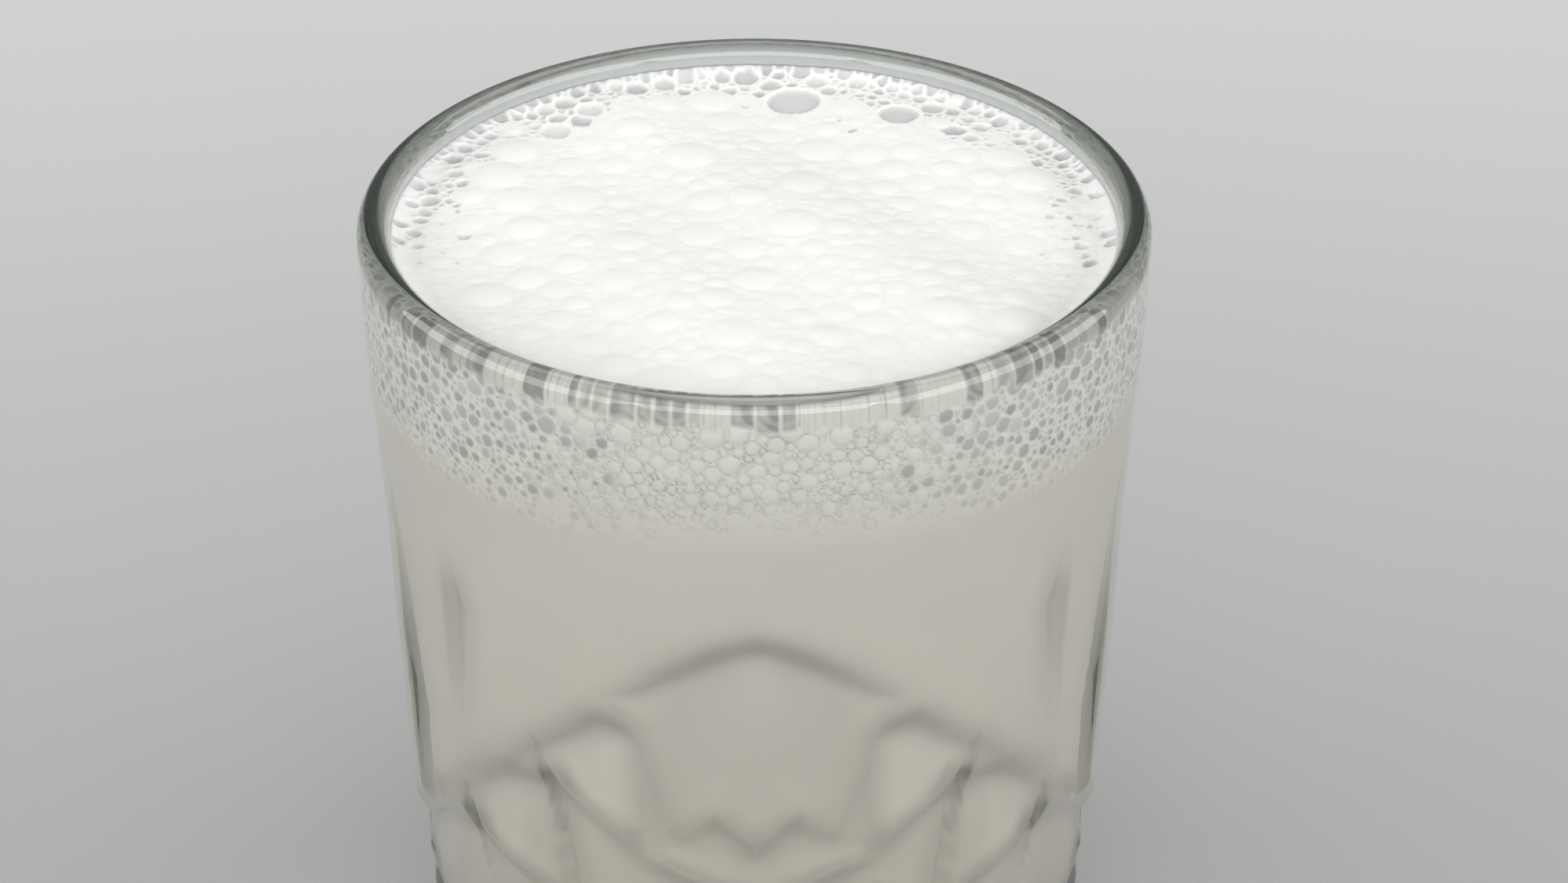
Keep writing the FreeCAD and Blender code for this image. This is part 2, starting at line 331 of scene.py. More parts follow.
def tumbler():
    seg = SEG
    th = np.arange(seg) * 2 * math.pi / seg
    outer = hermite([(RIM_RADIUS, LIP_Z)] + [(r * LIP_MID, LIP_Z - d * LIP_MID) for d, r in WALL]
                    + [(FOOT_SHOULDER_R, FOOT_SHOULDER_Z)], (0, -1), (-0.45, -1), 0.25)
    keep, last = [], 999.0
    for i, (r, z) in enumerate(outer):
        drop = (LIP_Z - z) / LIP_MID
        want = 0.49 if 0.48 < drop < 2.2 else 1.3
        if i in (0, len(outer) - 1) or last - z >= want:
            keep.append(i)
            last = z
    outer = outer[keep]
    # relief of the pressed pattern over the outside wall
    tree = mould_tree()
    R = np.repeat(outer[:, :1], seg, 1)
    Z = np.repeat(outer[:, 1:], seg, 1)
    T = np.repeat(th[None], len(outer), 0)
    cut = np.full_like(R, 99.0)
    dirs = [Vector((math.sin(t), -math.cos(t), 0.0)) for t in th]
    low, high = LIP_Z - 2.25 * LIP_MID, LIP_Z - 0.45 * LIP_MID
    for i, (r, z) in enumerate(outer):
        if low < z < high:
            o = Vector((0, 0, z))
            for j in range(seg):
                hit = tree.ray_cast(o, dirs[j], 60.0)
                if hit[0] is not None:
                    cut[i, j] = hit[3]
    deep = smooth_min(R, np.minimum(cut, 60.0), 0.30)
    # painted shade along the leaf cuts and painted highlights beside them
    lit_facet_highlight, slit_shade = np.zeros_like(R), np.zeros_like(R)
    for k in range(REPEAT):
        for angle, top, deepest, tip, depth, away, towards, lean_top, lean_tip in VEES:
            for side_ in (-1, 1):
                walls = (away, towards) if side_ > 0 else (towards, away)
                middle = k * SECTOR + side_ * angle
                v = vee_radius(np.degrees(T), Z, middle, top, deepest, tip, depth, *walls,
                               side_ * lean_top, side_ * lean_tip)
                if lean_tip:
                    # painted shade and highlight: the cut's outer wall, seen edge-on, is painted dark, and its inner
                    # wall is painted light
                    turn = side_ * (np.mod(np.degrees(T) - middle + 180, 360) - 180)
                    down = (LIP_Z - Z) / LIP_MID
                    line = np.where(down < deepest, lean_top * (deepest - down) / (deepest - top),
                                    lean_tip * (down - deepest) / (tip - deepest)) / 0.66
                    along_ = np.clip((down - top) / 0.34, 0, 1)
                    leaf = 1.5 * np.sin(math.pi * along_) ** 0.7
                    slit_shade = np.maximum(slit_shade, np.clip(1 - np.abs(turn - line - 0.5 * leaf) / (0.35 + 0.45 * leaf), 0, 1)
                                      * (leaf > 0.1))
                    lit_facet_highlight = np.maximum(lit_facet_highlight, np.clip(1 - np.abs(turn - line + 0.6 * leaf) / 0.9, 0, 1) * (leaf > 0.1))
                    # painted highlight: light facet beside the cut, kept clear of the painted shade
                    run = np.clip((1.5 - turn) / 15.0, 0, 1)
                    lit = np.clip((down - top - 0.02 + 0.09 * run) / 0.03, 0, 1) \
                        * np.clip((top + 0.05 + 0.20 * run - down) / 0.04, 0, 1)
                    lit_facet_highlight = np.maximum(lit_facet_highlight, lit * (turn < 1.0) * (turn > -12.5))
                deep = smooth_min(deep, np.minimum(v, 60.0), 0.30 if lean_tip else 0.08)
    relief = deep - R
    wave = smooth_noise(T, Z, 14, 0.035, 3)
    fade = np.clip((LIP_Z - 2 - Z) / 8, 0, 1) * np.clip((Z - 6) / 8, 0, 1)
    R = R + relief + (wave - 0.05) * fade
    # painted shade: undercut and steep facets are darkened green in the colour
    ds = np.maximum(R, 1) * (2 * math.pi / seg)
    step = np.abs(np.roll(R, -1, 1) - R) / ds
    across = np.maximum(step, np.roll(step, 1, 1))
    dz = np.gradient(outer[:, 1])[:, None]
    under = np.gradient(relief, axis=0) / dz
    # painted shade: the pressed field under the arch, at the front and back, is darkened green in the colour
    arch_shade = np.clip((-relief - 0.15) / 0.7, 0, 1) * np.clip((np.abs(np.cos(T)) - 0.35) / 0.15, 0, 1)
    arch_shade = blur_wrap(arch_shade * (1 - lit_facet_highlight), 3)
    facet_shade = 0.32 * slit_shade + 0.14 * arch_shade + blur_wrap(np.clip(1.0 * under, 0, 0.34), 10) + blur_wrap(np.clip((across - 0.9) * 0.34, 0, 0.50), 2)
    verts = []
    rows = 0

    def add_row(r, z):
        nonlocal rows
        verts.append(np.stack([r * np.sin(th), -r * np.cos(th), np.full(seg, z) if np.isscalar(z) else z], 1))
        rows += 1

    for i in range(len(outer)):
        add_row(R[i], outer[i, 1])
    foot = [(FOOT_SHOULDER_R, FOOT_SHOULDER_Z), (FOOT_R + 2.2, 1.6), (FOOT_R, 0.0)]
    (x1, y1), (x2, y2), (x3, y3) = foot
    d = 2 * (x1 * (y2 - y3) + x2 * (y3 - y1) + x3 * (y1 - y2))
    ux = ((x1**2 + y1**2) * (y2 - y3) + (x2**2 + y2**2) * (y3 - y1) + (x3**2 + y3**2) * (y1 - y2)) / d
    uy = ((x1**2 + y1**2) * (x3 - x2) + (x2**2 + y2**2) * (x1 - x3) + (x3**2 + y3**2) * (x2 - x1)) / d
    a0, a1 = math.atan2(y1 - uy, x1 - ux), math.atan2(y3 - uy, x3 - ux)
    rad = math.hypot(x1 - ux, y1 - uy)
    for i in range(1, 9):
        a = a0 + (a1 - a0) * i / 8
        add_row(np.full(seg, ux + rad * math.cos(a)), uy + rad * math.sin(a))
    for r, z in ((FOOT_R - 0.3, 0.0), (28.0, 0.0), (RING_INNER_R + 0.2, 0.0), (RING_INNER_R - 0.3, 0.10),
                 (RING_INNER_R - 2.7, PUNT_Z - 0.10), (RING_INNER_R - 3.2, PUNT_Z), (15.0, PUNT_Z), (6.0, PUNT_Z)):
        add_row(np.full(seg, r), max(z, 0.0))
    bottom_last = rows - 1
    n_out = rows
    # inside wall, upwards from the middle of the floor
    bore = bore_profile(LIP_Z, 0.0, 2.0)[::-1]
    for r, z in bore:
        add_row(np.full(seg, r), z)
    for i in range(1, 16):
        a = math.pi * (1 - i / 16)
        add_row(np.full(seg, LIP_MID + LIP_R * math.cos(a)), LIP_Z + LIP_R * math.sin(a))
    v = np.concatenate(verts)
    faces = []
    for i in range(rows):
        if i == n_out - 1:
            continue
        a, b = i * seg, ((i + 1) % rows) * seg
        for j in range(seg):
            k = (j + 1) % seg
            faces.append((a + j, b + j, b + k, a + k))
    v = np.concatenate([v, [[0, 0, PUNT_Z], [0, 0, FLOOR_Z]]])
    c0, c1 = len(v) - 2, len(v) - 1
    a = bottom_last * seg
    faces += [(a + j, c0, a + (j + 1) % seg) for j in range(seg)]
    a = n_out * seg
    faces += [(a + j, a + (j + 1) % seg, c1) for j in range(seg)]
    ob = mesh_object("tumbler", v * MM, faces)
    # painted shade: the lip's crown and outer lip are darkened green in the colour, the outer lip most at the left
    # and right sides
    rho = np.hypot(v[:, 0], v[:, 1])
    lift = np.degrees(np.arctan2(v[:, 2] - LIP_Z, rho - LIP_MID))
    crown = np.clip((lift - 56) / 14, 0, 1) * np.clip((145 - lift) / 20, 0, 1) * (v[:, 2] > LIP_Z)
    around = np.abs(v[:, 0]) / np.maximum(rho, 1e-6)
    flank = np.clip((around - 0.52) / 0.36, 0, 1)
    outer_lip = np.clip((lift + 35) / 25, 0, 1) * (lift < 100) * (v[:, 2] > LIP_Z - 1.2)
    shade_tint = np.clip(0.36 * crown + outer_lip * (0.12 + 0.52 * flank), 0, 0.64).astype(np.float32)
    # painted shade of the facets is merged into the lip's painted shade
    shade_tint[:facet_shade.size] = np.maximum(shade_tint[:facet_shade.size], facet_shade.ravel())
    at_ = ob.data.attributes.new("shade_tint", "FLOAT", "POINT")
    at_.data.foreach_set("value", shade_tint)
    return ob


def flank_shade_core():
    """Painted shade: a denser green absorbing core inside the plain pillars left between the flank cuts, darkening
    the flanks.
    """
    verts, faces = [], []
    drops = np.linspace(0.60, 1.58, 40)
    turns = np.radians(np.linspace(72.8, 107.2, 36))
    for k in range(REPEAT):
        base = len(verts)
        for d in drops:
            full = min(1.0, (d - 0.59) / 0.35, (1.59 - d) / 0.35) ** 0.7
            mid = wall_radius(d) - 1.25
            for way in (1, -1):
                for t in turns:
                    u = (t - math.pi / 2) / math.radians(17.3)
                    r = mid + way * 0.95 * full * math.sqrt(max(0.0, 1 - u * u))
                    a = t + math.radians(k * SECTOR)
                    verts.append((r * math.sin(a), -r * math.cos(a), LIP_Z - d * LIP_MID))
        n, m = len(turns), len(drops)

        def idx(i, side, j):
            return base + (i * 2 + side) * n + j
        for i in range(m - 1):
            for j in range(n - 1):
                faces.append((idx(i, 0, j), idx(i + 1, 0, j), idx(i + 1, 0, j + 1), idx(i, 0, j + 1)))
                faces.append((idx(i, 1, j), idx(i, 1, j + 1), idx(i + 1, 1, j + 1), idx(i + 1, 1, j)))
            faces.append((idx(i, 0, 0), idx(i, 1, 0), idx(i + 1, 1, 0), idx(i + 1, 0, 0)))
            faces.append((idx(i, 0, n - 1), idx(i + 1, 0, n - 1), idx(i + 1, 1, n - 1), idx(i, 1, n - 1)))
        for j in range(n - 1):
            faces.append((idx(0, 0, j), idx(0, 0, j + 1), idx(0, 1, j + 1), idx(0, 1, j)))
            faces.append((idx(m - 1, 0, j), idx(m - 1, 1, j), idx(m - 1, 1, j + 1), idx(m - 1, 0, j + 1)))
    return mesh_object("flank_shade_core", np.array(verts) * MM, faces, smooth=False)


def shade_core_material():
    m, nt = material("green_shade_core")
    out = nt.nodes.new("ShaderNodeOutputMaterial")
    p = node(nt, "ShaderNodeBsdfPrincipled", Roughness=0.0, IOR=1.0)
    p.inputs["Transmission Weight"].default_value = 1.0
    p.inputs["Base Color"].default_value = (1, 1, 1, 1)
    nt.links.new(p.outputs[0], out.inputs["Surface"])
    vol = nt.nodes.new("ShaderNodeVolumeAbsorption")
    vol.inputs["Color"].default_value = SHADE_CORE_TINT
    vol.inputs["Density"].default_value = CORE_DENSITY
    nt.links.new(vol.outputs[0], out.inputs["Volume"])
    return m


# painted shade: colour and density of the absorbing core in the flank pillars
SHADE_CORE_TINT = (0.30, 0.47, 0.36, 1)
CORE_DENSITY = 72.0


# ---- froth -------------------------------------------------------------------
def scatter(radius, sizes, tries, gap, seed, start=None):
    """Random discs of the given (size function of place) that don't crowd."""
    r = np.random.default_rng(seed)
    c = np.zeros((0, 3)) if start is None else start
    pts = list(map(tuple, c))
    cell = 4.0
    grid = {}

    def key(x, y):
        return int(math.floor(x / cell)), int(math.floor(y / cell))
    for i, p in enumerate(pts):
        grid.setdefault(key(p[0], p[1]), []).append(i)
    for _ in range(tries):
        rho = radius * math.sqrt(r.random())
        t = r.random() * 2 * math.pi
        x, y = rho * math.cos(t), rho * math.sin(t)
        s = sizes(rho, t, r)
        if s is None or rho + s * 0.55 > radius:
            continue
        ok = True
        kx, ky = key(x, y)
        for ax in (-2, -1, 0, 1, 2):
            for ay in (-2, -1, 0, 1, 2):
                for i in grid.get((kx + ax, ky + ay), ()):
                    q = pts[i]
                    if (q[0] - x) ** 2 + (q[1] - y) ** 2 < ((q[2] + s) * gap) ** 2:
                        ok = False
                        break
                if not ok:
                    break
            if not ok:
                break
        if ok:
            grid.setdefault((kx, ky), []).append(len(pts))
            pts.append((x, y, s))
    return np.array(pts)


def froth_cells(top_r):
    def big(rho, t, r):
        if rho / top_r > 0.88:
            return r.uniform(0.7, 1.2 + 0.5 * max(0.0, math.sin(t))) if r.random() < 0.5 else None
        return r.uniform(1.3, 3.2) if r.random() < 0.30 else None

    def mid(rho, t, r):
        return r.uniform(0.6, 1.5)

    def small(rho, t, r):
        if rho / top_r < 0.8 and r.random() < 0.5:
            return None
        return r.uniform(0.28, 0.65)
    c = scatter(top_r, big, 5000, 0.95, 11)
    c = scatter(top_r, mid, 7000, 0.88, 12, c)
    c = scatter(top_r, small, 26000, 0.84, 13, c)
    return c


def painted_rim_streaks(theta):
    """Painted shade: upright grey streaks at the froth's very edge, standing in for the bubbles seen refracted
    through the lip; returns tone and height.
    """
    r = np.random.default_rng(41)
    edges, tone, tall = [0.0], [], []
    while edges[-1] < 2 * math.pi * BORE_TOP_R:
        kind = r.random()
        if kind < 0.38:
            for _ in range(r.integers(3, 9)):
                edges.append(edges[-1] + r.uniform(0.16, 0.50))
                tone.append(0.20 + 1.0 * r.random() ** 1.1)
                tall.append(r.uniform(1.5, 2.1))
        elif kind < 0.60:
            edges.append(edges[-1] + r.uniform(0.8, 2.6))
            tone.append(r.uniform(0.50, 0.76))
            tall.append(r.uniform(1.3, 1.9))
        else:
            edges.append(edges[-1] + r.uniform(0.9, 2.8))
            tone.append(r.uniform(0.85, 1.30))
            tall.append(r.uniform(1.35, 2.2))
    edges = np.array(edges) * (2 * math.pi / edges[-1])
    tone, tall = np.array(tone + [0.5]), np.array(tall + [1.8])
    turn = np.mod(theta, 2 * math.pi)
    i = np.clip(np.searchsorted(edges, turn, side="right") - 1, 0, len(edges) - 2)
    gap = np.minimum(turn - edges[i], edges[i + 1] - turn) * BORE_TOP_R
    drift = 1 - 0.30 * np.sin(turn * 61 + 3 * np.sin(turn * 17))
    return np.clip((gap - 0.08) / 0.20, 0, 1) * tone[i] * drift, tall[i]


def cell_field(x, y, cells, seed):
    """For each point: nearest bubble by power distance and distance to its border."""
    n = len(x)
    first = np.full(n, -1)
    border = np.full(n, 9.0)
    step = 3.0
    cx = np.floor(x / step).astype(int)
    cy = np.floor(y / step).astype(int)
    order = np.lexsort((cy, cx))
    keys = cx[order] * 1000 + cy[order]
    cuts = np.flatnonzero(np.diff(keys)) + 1
    for idx in np.split(order, cuts):
        px, py = x[idx], y[idx]
        mx, my = px.mean(), py.mean()
        near = np.flatnonzero((cells[:, 0] - mx) ** 2 + (cells[:, 1] - my) ** 2 < 8.5**2)
        q = cells[near]
        d = (px[:, None] - q[None, :, 0]) ** 2 + (py[:, None] - q[None, :, 1]) ** 2 - q[None, :, 2] ** 2
        i = d.argmin(1)
        di = d[np.arange(len(idx)), i]
        sep = np.hypot(q[i][:, None, 0] - q[None, :, 0], q[i][:, None, 1] - q[None, :, 1])
        with np.errstate(divide="ignore", invalid="ignore"):
            b = (d - di[:, None]) / (2 * sep)
        b[sep < 1e-9] = 9.0
        border[idx] = b.min(1)
        first[idx] = near[i]
    return first, border


def froth_top():
    """Bubbled upper surface of the froth, a closed slab."""
    n = 278
    slope = (BORE_TOP_R - BORE_LOW_R) / (LIP_Z - BORE_LOW_Z)
    level = FROTH_TOP_Z - 0.9
    top_r = BORE_TOP_R - (LIP_Z - level) * slope + 0.05
    u = np.linspace(-1, 1, n + 1)
    A, B = np.meshgrid(u, u, indexing="ij")
    with np.errstate(divide="ignore", invalid="ignore"):
        big_a = np.abs(A) >= np.abs(B)
        r = np.where(big_a, A, B)
        phi = np.where(big_a, (math.pi / 4) * np.where(A != 0, B / np.where(A == 0, 1, A), 0),
                       math.pi / 2 - (math.pi / 4) * np.where(B != 0, A / np.where(B == 0, 1, B), 0))
    X = (r * np.cos(phi) * top_r).ravel()
    Y = (r * np.sin(phi) * top_r).ravel()
    cells = froth_cells(top_r)
    first, border = cell_field(X, Y, cells, 0)
    rho = np.hypot(X, Y) / top_r
    cr = np.random.default_rng(5)
    k = len(cells)
    cell_rho = np.hypot(cells[:, 0], cells[:, 1]) / top_r
    # bubbles against the wall stand open, with painted shade in their hollows; those in the middle are skinned over
    side = cells[:, 1] / np.maximum(np.hypot(cells[:, 0], cells[:, 1]), 1e-6)
    chance = np.clip((cell_rho - 0.77) / 0.13, 0.0, 1.0) * 0.95 * np.clip((side + 0.42) / 0.7, 0.0, 1.0) ** 1.2
    chance += 0.03 * np.clip((side - 0.3) / 0.4, 0, 1) * (cell_rho > 0.5)
    size = cells[:, 2]
    is_open = (cr.random(k) < chance) & ((size < 1.25) | (side > 0.70))
    lift = cr.uniform(0.6, 1.2, k)
    s = size[first]
    b = np.clip(border, 0, None)
    t = np.clip(b / (0.85 * s + 0.05), 0, 1)
    dome = (1 - (1 - t) ** 2) * s * 0.085 * lift[first]
    rim = np.exp(-(b / 0.22) ** 2) * 0.12
    pit = -(1 - np.exp(-(b / 0.42) ** 2)) * np.minimum(s * 0.30, 0.40)
    h = np.where(is_open[first], rim + pit, dome)
    swell = 0.35 * np.sin(X * 0.11 + 1.3) * np.cos(Y * 0.09 + 0.4) + 0.20 * np.sin(X * 0.23 + Y * 0.19)
    climb = 0.75 * np.clip((rho - 0.93) / 0.07, 0, 1) ** 2
    z = level + h + swell * np.clip((1 - rho) / 0.1, 0, 1) + climb
    ang = np.arctan2(X, -Y)
    z += 0.18 * np.clip((rho - 0.9) / 0.1, 0, 1) * (np.sin(5 * ang + 1) + 0.7 * np.sin(11 * ang + 2.2))
    z = z + (level + climb - z) * np.clip((rho - 0.985) / 0.015, 0, 1) * 0.8
    open_pit_shade = np.where(is_open[first], np.clip((b - 0.12) / 0.22, 0, 1), 0.0)
    tone = cr.uniform(0.35, 1.0, k)[first] * open_pit_shade
    # painted shade: thin dark lines in the creases between the domed bubbles
    line = np.exp(-(b / 0.16) ** 2) * (1 - open_pit_shade)
    tone = tone * np.clip((1 - rho) / 0.008, 0, 1)
    verts = np.stack([X, Y, z], 1)
    N = n + 1
    ij = np.arange(N * N).reshape(N, N)
    quads = np.stack([ij[:-1, :-1], ij[1:, :-1], ij[1:, 1:], ij[:-1, 1:]], -1).reshape(-1, 4)
    loop = list(ij[:, 0]) + list(ij[-1, 1:]) + list(ij[-2::-1, -1]) + list(ij[0, -2:0:-1])
    faces = [tuple(q) for q in quads]
    low_z = level - 2.2
    low_r = BORE_TOP_R - (LIP_Z - low_z) * slope + 0.05
    base = len(verts)
    ring = verts[loop].copy()
    ring[:, :2] *= low_r / top_r
    ring[:, 2] = low_z
    verts = np.concatenate([verts, ring, [[0, 0, low_z]]])
    m = len(loop)
    for i in range(m):
        j = (i + 1) % m
        faces.append((loop[i], base + i, base + j, loop[j]))
        faces.append((base + i, base + m, base + j))
    ob = mesh_object("froth_top", verts * MM, faces)
    me = ob.data
    # painted shade: pit darkens the open bubbles and the slab's side ring, seam darkens the creases between bubbles
    for name, val in (("pit", tone), ("seam_shade", line)):
        full = np.zeros(len(verts), np.float32)
        full[:len(val)] = val
        # painted shade: the slab's side ring takes the streak tones
        if name == "pit":
            full[base:base + m] = painted_rim_streaks(ang[loop])[0]
        at_ = me.attributes.new(name, "FLOAT", "POINT")
        at_.data.foreach_set("value", full)
    return ob


# ---- materials ---------------------------------------------------------------
def material(name):
    m = bpy.data.materials.new(name)
    m.use_nodes = True
    nt = m.node_tree
    nt.nodes.clear()
    return m, nt


def node(nt, kind, **sockets):
    n = nt.nodes.new(kind)
    for k, v in sockets.items():
        n.inputs[k.replace("_", " ")].default_value = v
    return n


def ramp(nt, source, stops, interpolation="LINEAR"):
    n = nt.nodes.new("ShaderNodeValToRGB")
    n.color_ramp.interpolation = interpolation
    e = n.color_ramp.elements
    while len(e) < len(stops):
        e.new(0.5)
    for el, (p, c) in zip(e, stops):
        el.position = p
        el.color = (*c, 1.0)
    nt.links.new(source, n.inputs["Fac"])
    return n


def maths(nt, op, a, b=None, clamp=False):
    n = nt.nodes.new("ShaderNodeMath")
    n.operation = op
    n.use_clamp = clamp
    for i, v in enumerate((a, b)):
        if v is None:
            continue
        if isinstance(v, (int, float)):
            n.inputs[i].default_value = v
        else:
            nt.links.new(v, n.inputs[i])
    return n.outputs[0]


def mix_colour(nt, fac, a, b):
    n = nt.nodes.new("ShaderNodeMix")
    n.data_type = "RGBA"
    for i, v in ((0, fac), (6, a), (7, b)):
        if isinstance(v, tuple):
            n.inputs[i].default_value = (*v, 1.0)
        elif isinstance(v, (int, float)):
            n.inputs[i].default_value = v
        else:
            nt.links.new(v, n.inputs[i])
    return n.outputs[2]


def glass_material():
    m, nt = material("green_glass")
    out = nt.nodes.new("ShaderNodeOutputMaterial")
    p = node(nt, "ShaderNodeBsdfPrincipled", Roughness=0.02, IOR=1.52)
    p.inputs["Transmission Weight"].default_value = 0.96
    # painted shade: a stored attribute darkens the base colour towards deep green at the lip, the cut edges and the
    # facets
    shade_tint = nt.nodes.new("ShaderNodeAttribute")
    shade_tint.attribute_name = "shade_tint"
    colour = mix_colour(nt, shade_tint.outputs["Fac"], (0.97, 0.985, 0.97), PAINTED_SHADE_GREEN)
    nt.links.new(colour, p.inputs["Base Color"])
    coord = nt.nodes.new("ShaderNodeTexCoord")
    noise = node(nt, "ShaderNodeTexNoise", Scale=90.0, Detail=2.0)
    nt.links.new(coord.outputs["Object"], noise.inputs["Vector"])
    bump = node(nt, "ShaderNodeBump", Strength=0.06, Distance=0.001)
    nt.links.new(noise.outputs["Fac"], bump.inputs["Height"])
    nt.links.new(bump.outputs["Normal"], p.inputs["Normal"])
    nt.links.new(p.outputs[0], out.inputs["Surface"])
    vol = nt.nodes.new("ShaderNodeVolumeAbsorption")
    vol.inputs["Color"].default_value = GLASS_TINT
    vol.inputs["Density"].default_value = GLASS_DENSITY
    nt.links.new(vol.outputs[0], out.inputs["Volume"])
    return m


GLASS_TINT = (0.41, 0.50, 0.435, 1)
GLASS_DENSITY = 48.0
# painted shade: the deep green that the lip and facets are darkened to
PAINTED_SHADE_GREEN = (0.045, 0.082, 0.050)


def froth_top_material():
    m, nt = material("froth_skin")
    out = nt.nodes.new("ShaderNodeOutputMaterial")
    p = node(nt, "ShaderNodeBsdfPrincipled", Roughness=0.62, IOR=1.34)
    p.inputs["Specular IOR Level"].default_value = 0.25
    p.inputs["Subsurface Weight"].default_value = 0.6
    p.inputs["Subsurface Radius"].default_value = (1.0, 0.9, 0.75)
    p.inputs["Subsurface Scale"].default_value = 0.0022
    pit = nt.nodes.new("ShaderNodeAttribute")
    pit.attribute_name = "pit"
    seam_shade = nt.nodes.new("ShaderNodeAttribute")
    seam_shade.attribute_name = "seam_shade"
    coord = nt.nodes.new("ShaderNodeTexCoord")
    noise = node(nt, "ShaderNodeTexNoise", Scale=45.0, Detail=3.0)
    nt.links.new(coord.outputs["Object"], noise.inputs["Vector"])
    base = ramp(nt, noise.outputs["Fac"], [(0.3, (0.695, 0.690, 0.668)), (0.7, (0.73, 0.722, 0.697))])
    # painted shade: pit turns the colour grey in the open bubbles and the streaks
    grey = mix_colour(nt, pit.outputs["Fac"], base.outputs["Color"], (0.44, 0.445, 0.44))
    # painted shade: faint dark lines in the creases between bubbles
    col = mix_colour(nt, maths(nt, "MULTIPLY", seam_shade.outputs["Fac"], 0.06), grey, (0.62, 0.60, 0.57))
    nt.links.new(col, p.inputs["Base Color"])
    fine = node(nt, "ShaderNodeTexVoronoi", Scale=1800.0)
    nt.links.new(coord.outputs["Object"], fine.inputs["Vector"])
    bump = node(nt, "ShaderNodeBump", Strength=0.12, Distance=0.0002)
    nt.links.new(fine.outputs["Distance"], bump.inputs["Height"])
    nt.links.new(bump.outputs["Normal"], p.inputs["Normal"])
    rough = maths(nt, "MULTIPLY_ADD", pit.outputs["Fac"], -0.15)
    rough.node.inputs[2].default_value = 0.64
    nt.links.new(rough, p.inputs["Roughness"])
    nt.links.new(p.outputs[0], out.inputs["Surface"])
    return m


def drink_material(name, base):
    """Liquid and side froth seen through the wall: the pit and seam fields are painted shade in and between the
    bubbles, and the colour is painted darker towards the bottom.
    """
    m, nt = material(name)
    out = nt.nodes.new("ShaderNodeOutputMaterial")
    p = node(nt, "ShaderNodeBsdfPrincipled", Roughness=0.45, IOR=1.34)
    coord = nt.nodes.new("ShaderNodeTexCoord")
    noise = node(nt, "ShaderNodeTexNoise", Scale=110.0, Detail=3.0)
    nt.links.new(coord.outputs["Object"], noise.inputs["Vector"])
    fields = {}
    for key in ("pit", "seam_shade", "white"):
        n = nt.nodes.new("ShaderNodeAttribute")
        n.attribute_name = key
        fields[key] = n.outputs["Fac"]
    tone = ramp(nt, noise.outputs["Fac"], [(0.3, tuple(c * 0.975 for c in base)), (0.7, base)])
    place = nt.nodes.new("ShaderNodeSeparateXYZ")
    nt.links.new(coord.outputs["Object"], place.inputs[0])
    # painted shade: the colour darkens towards the bottom of the drink
    low = maths(nt, "MULTIPLY_ADD", place.outputs["Z"], -1 / 0.062)
    low.node.inputs[2].default_value = 0.082 / 0.062
    low.node.use_clamp = True
    tone = mix_colour(nt, low, tone.outputs["Color"], tuple(c * k for c, k in zip(base, (0.86, 0.845, 0.81))))
    col = mix_colour(nt, fields["white"], tone, FROTH_WHITE)
    # painted shade: pit greys the bubbles' windows and the rim streaks, seam draws dark lines round the bubbles
    col = mix_colour(nt, fields["pit"], col, FROTH_PIT_SHADE)
    col = mix_colour(nt, fields["seam_shade"], col, FROTH_SEAM_SHADE)
    nt.links.new(col, p.inputs["Base Color"])
    nt.links.new(p.outputs[0], out.inputs["Surface"])
    return m


LASSI = (0.80, 0.722, 0.668)
FROTH_WHITE = (0.985, 0.94, 0.91)
# painted shade: the grey of the bubbles' windows and the dark of their outlines
FROTH_PIT_SHADE = (0.33, 0.325, 0.31)
FROTH_SEAM_SHADE = (0.36, 0.34, 0.32)


